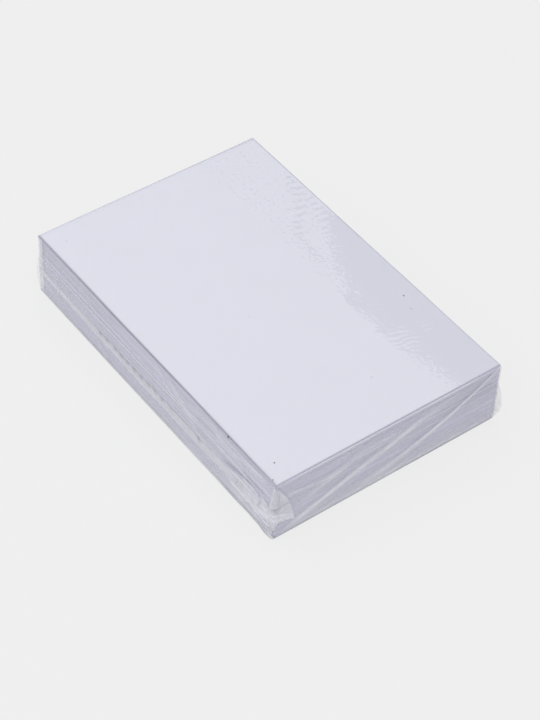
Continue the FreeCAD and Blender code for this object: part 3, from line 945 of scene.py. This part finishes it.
def node_maker(tree):
    """Empty a node tree, and give functions that fill it: add, maths, remap and mix.

    An input is a socket to join or a value to set, so a graph reads like a formula.
    """
    tree.nodes.clear()

    def add(kind, inputs=None, **settings):
        """A node of the kind. inputs are by name or number, and settings go on the node."""
        node = tree.nodes.new("ShaderNode" + kind)
        for key, value in settings.items():
            setattr(node, key, value)
        for key, value in (inputs or {}).items():
            if isinstance(value, bpy.types.NodeSocket):
                tree.links.new(value, node.inputs[key])
            else:
                node.inputs[key].default_value = value
        return node

    def maths(operation, *inputs, clamp=False):
        """The result of a Math node."""
        node = add("Math", dict(enumerate(inputs)), operation=operation, use_clamp=clamp)
        return node.outputs[0]

    def remap(value, low, high, to_low, to_high, kind="LINEAR"):
        """The value, carried from the range low to high over to another range."""
        ends = {"From Min": low, "From Max": high, "To Min": to_low, "To Max": to_high}
        return add("MapRange", {"Value": value, **ends}, interpolation_type=kind).outputs["Result"]

    def mix(share, first, second, kind=None):
        """Two shaders mixed by a share, or two colours where a kind of colour mix is named."""
        if kind:
            inputs = {0: share, 6: first, 7: second}
            return add("Mix", inputs, data_type="RGBA", blend_type=kind).outputs[2]
        return add("MixShader", {0: share, 1: first, 2: second}).outputs[0]

    return add, maths, remap, mix


def new_material(name):
    """An empty node material, and the functions that fill it."""
    material = bpy.data.materials.new(name)
    material.use_nodes = True
    return material, node_maker(material.node_tree)


# %% Paper
FACE_COLOUR = (0.707, 0.715, 0.803, 1)
EDGE_COLOUR = (0.635, 0.63, 0.785, 1)
END_COLOUR = (0.655, 0.632, 0.785, 1)
FIBRE_SCALE = (120, 120, 9000)  # long along the sheet and very fine across it


def paper_material():
    """Coated photo paper: a clean glossy face, and cut edges with fine lines along them."""
    material, (add, maths, remap, mix) = new_material("photo_paper")
    place = add("TexCoord")
    normal = add("SeparateXYZ", {0: place.outputs["Normal"]})
    is_face = remap(maths("ABSOLUTE", normal.outputs["Z"]), 0.5, 0.9, 0.0, 1.0, "SMOOTHSTEP")

    stretched = add("Mapping", {"Vector": place.outputs["Object"], "Scale": FIBRE_SCALE})
    fibres = add("TexNoise", {"Vector": stretched.outputs["Vector"], "Scale": 1.0, "Detail": 4.0})
    lines = remap(fibres.outputs["Fac"], 0.3, 0.7, 0.95, 1.04)
    # each sheet's own random tone, with lines of painted highlight and painted shade
    sheet_tone_and_shading = add("Attribute", attribute_name="tone_and_shading").outputs["Fac"]
    endways = maths("ABSOLUTE", normal.outputs["Y"])
    side_or_end = mix(endways, EDGE_COLOUR, END_COLOUR, "MIX")
    edge = mix(1.0, side_or_end, maths("MULTIPLY", lines, sheet_tone_and_shading), "MULTIPLY")

    cloud = add("TexNoise", {"Vector": place.outputs["Object"], "Scale": 60.0, "Detail": 3.0})
    face = mix(1.0, FACE_COLOUR, remap(cloud.outputs["Fac"], 0.0, 1.0, 0.985, 1.015), "MULTIPLY")
    shader = add("BsdfPrincipled", {
        "Base Color": mix(is_face, edge, face, "MIX"),
        "Roughness": remap(is_face, 0.0, 1.0, 0.75, 0.35),
        "Specular IOR Level": 0.3,
    })
    add("OutputMaterial", {"Surface": shader.outputs["BSDF"]})
    return material


sheets.data.materials.append(paper_material())

# %% [markdown]
# ## The film's material
# A clear film shows what is behind it and, on top of that, a faint mirror image. The mirror is
# weak when you look straight at it and strong at a slant. A film has two faces, front and back, and
# both mirror, so we build the curve ourselves from Layer Weight's Facing, which is the same from
# inside and outside: a floor of 0.077 plus a steep power of the slant. Where the film is creased or
# doubled it also scatters light, and the same white milk also paints highlights and sheen on fold
# ridges. So the shader mixes four things: clear, mirror, milk with painted sheen, and painted shade,
# a dark colour laid where shadow and dark reflections fall. The shares of the last two come from the
# attributes that each film mesh carries.

# %% Film
MIRROR_FLOOR = 0.077
MILK_AND_SHEEN_COLOUR = (0.90, 0.905, 1.0, 1)
SLANT_POWER = 3.5
MIRROR_ROUGHNESS = 0.022
PAINTED_SHADE_COLOUR = (0.16, 0.18, 0.25, 1)
GRAIN_DEPTH = 0.34  # beside one for the crinkles
RELIEF_DEPTH = 0.00002  # metres


def film_material():
    """Clear shrink film: painted shade and milk with painted sheen below, and over them a mirror that
    grows at a slant.
    """
    material, (add, maths, remap, mix) = new_material("clear_film")
    place = add("TexCoord").outputs["Object"]
    milk_and_sheen, painted_shade, grainy = (
        add("Attribute", attribute_name=name).outputs["Fac"] for name in ("milk_and_sheen", "painted_shade", "grain")
    )

    # fine relief: crinkles where the film has milk and sheen, and a faint grain that is strongest on top
    crinkle = add("TexNoise", {"Vector": place, "Scale": 500.0, "Detail": 2.0}).outputs["Fac"]
    grain = add("TexNoise", {"Vector": place, "Scale": 850.0, "Detail": 0.0}).outputs["Fac"]
    crinkles = maths("MULTIPLY", milk_and_sheen, crinkle, clamp=True)
    relief = maths("MULTIPLY_ADD", grain, maths("MULTIPLY", grainy, GRAIN_DEPTH), crinkles)
    bump = add("Bump", {"Distance": RELIEF_DEPTH, "Height": relief}).outputs["Normal"]

    # the milk and sheen is patchy where it is strong: its share plus its square times the crinkles
    patches = remap(crinkle, 0.35, 0.7, -0.08, 0.08)
    square = maths("MULTIPLY", milk_and_sheen, milk_and_sheen)
    milk_and_sheen_share = maths("MULTIPLY_ADD", square, patches, milk_and_sheen, clamp=True)
    milk_sheen = add("BsdfDiffuse", {"Color": MILK_AND_SHEEN_COLOUR}).outputs[0]
    with_milk_and_sheen = mix(milk_and_sheen_share, add("BsdfTransparent").outputs[0], milk_sheen)
    with_painted_shade = mix(painted_shade, with_milk_and_sheen, add("BsdfDiffuse", {"Color": PAINTED_SHADE_COLOUR}).outputs[0])

    # the mirror's share: a floor, plus the rest times a power of the slant, less where shade is painted
    slant = add("LayerWeight", {"Blend": 0.5, "Normal": bump}).outputs["Facing"]
    steep = maths("POWER", slant, SLANT_POWER)
    share = maths("MULTIPLY_ADD", steep, 1 - MIRROR_FLOOR, MIRROR_FLOOR, clamp=True)
    mirror_share = maths("MULTIPLY", share, maths("SUBTRACT", 1.0, painted_shade, clamp=True))
    mirror = add("BsdfGlossy", {"Roughness": MIRROR_ROUGHNESS, "Normal": bump}).outputs[0]
    add("OutputMaterial", {"Surface": mix(mirror_share, with_painted_shade, mirror)})
    return material


clear_film = film_material()
film_pieces = [film_skin, seal_strip, folded_ear] + standing_ears
for piece in film_pieces:
    piece.data.materials.append(clear_film)

# %% Lint


def lint_material():
    """Grey lint with a mottled tone."""
    material, (add, *_) = new_material("lint")
    place = add("TexCoord").outputs["Object"]
    fluff = add("TexNoise", {"Vector": place, "Scale": 6000.0, "Detail": 3.0})
    colour = add("ValToRGB", {"Fac": fluff.outputs["Fac"]})
    colour.color_ramp.elements[0].color = (0.02, 0.02, 0.025, 1)
    colour.color_ramp.elements[1].color = (0.07, 0.07, 0.08, 1)
    shader = add("BsdfPrincipled", {"Base Color": colour.outputs["Color"], "Roughness": 0.9})
    add("OutputMaterial", {"Surface": shader.outputs["BSDF"]})
    return material


dust.data.materials.append(lint_material())

# %% [markdown]
# ## Floor, lamps and world
# The floor is one large pale sheet. Rays from the camera and in reflections see it at a steady
# pale grey with a light shadow, and rays that carry light to the pack see plain white paper. A wide
# panel hangs above and behind the pack, and its edge shows in the film on top. The dim world fills
# the shadows.

# %% Floor
PALE = 0.863
SHADOW_SHARE = 0.12
FLOOR_REACH, FLOOR_DROP = 8000.0, 0.02


def make_floor():
    """A large square, just under the pack."""
    corners = np.array([[-1, -1, 0], [1, -1, 0], [1, 1, 0], [-1, 1, 0]]) * FLOOR_REACH
    corners[:, 2] = -FLOOR_DROP
    piece = make_piece("floor", corners, [[0, 1, 2, 3]])
    material, (add, maths, _, mix) = new_material("pale_floor")
    path = add("LightPath").outputs
    mirrored = maths("MAXIMUM", path["Is Glossy Ray"], path["Is Transmission Ray"])
    seen = maths("MAXIMUM", path["Is Camera Ray"], mirrored)
    glow = add("Emission", {"Strength": PALE * (1 - SHADOW_SHARE)}).outputs[0]
    faint = add("BsdfDiffuse", {"Color": (PALE * SHADOW_SHARE,) * 3 + (1,)}).outputs[0]
    shown = add("AddShader", {0: glow, 1: faint}).outputs[0]
    plain = add("BsdfDiffuse", {"Color": (0.8, 0.8, 0.8, 1)}).outputs[0]
    add("OutputMaterial", {"Surface": mix(seen, plain, shown)})
    piece.data.materials.append(material)
    return piece


make_floor()

# %% Lamp
PANEL_LOW, PANEL_HIGH, PANEL_HEIGHT = (-1.8, -1.4), (0.696, 1.8), 1.0
PANEL_RADIANCE = 0.94

panel_data = bpy.data.lights.new("top_panel", "AREA")
panel_data.shape = "RECTANGLE"
panel_data.size, panel_data.size_y = PANEL_HIGH[0] - PANEL_LOW[0], PANEL_HIGH[1] - PANEL_LOW[1]
panel_data.energy = PANEL_RADIANCE * math.pi * panel_data.size * panel_data.size_y
panel = bpy.data.objects.new("top_panel", panel_data)
panel.location = [(low + high) / 2 for low, high in zip(PANEL_LOW, PANEL_HIGH)] + [PANEL_HEIGHT]
panel.visible_camera = False
bpy.context.scene.collection.objects.link(panel)

# %% World
ROOM_LIGHT = 0.40
world = bpy.data.worlds.new("room")
bpy.context.scene.world = world
world.use_nodes = True
add, _, _, mix = node_maker(world.node_tree)
room_light, pale_wall = (
    add("Background", {"Color": (1, 1, 1, 1), "Strength": strength}).outputs[0]
    for strength in (ROOM_LIGHT, PALE)
)
seen = add("LightPath").outputs["Is Camera Ray"]
add("OutputWorld", {"Surface": mix(seen, room_light, pale_wall)})
bpy.context.scene.view_settings.view_transform = "Standard"

# %% Tie the pieces to the frame
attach(sheets, "root")
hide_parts("sheet_stack")
for piece in film_pieces:
    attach(piece, "root")
    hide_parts("film_wrap")
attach(dust, "root")
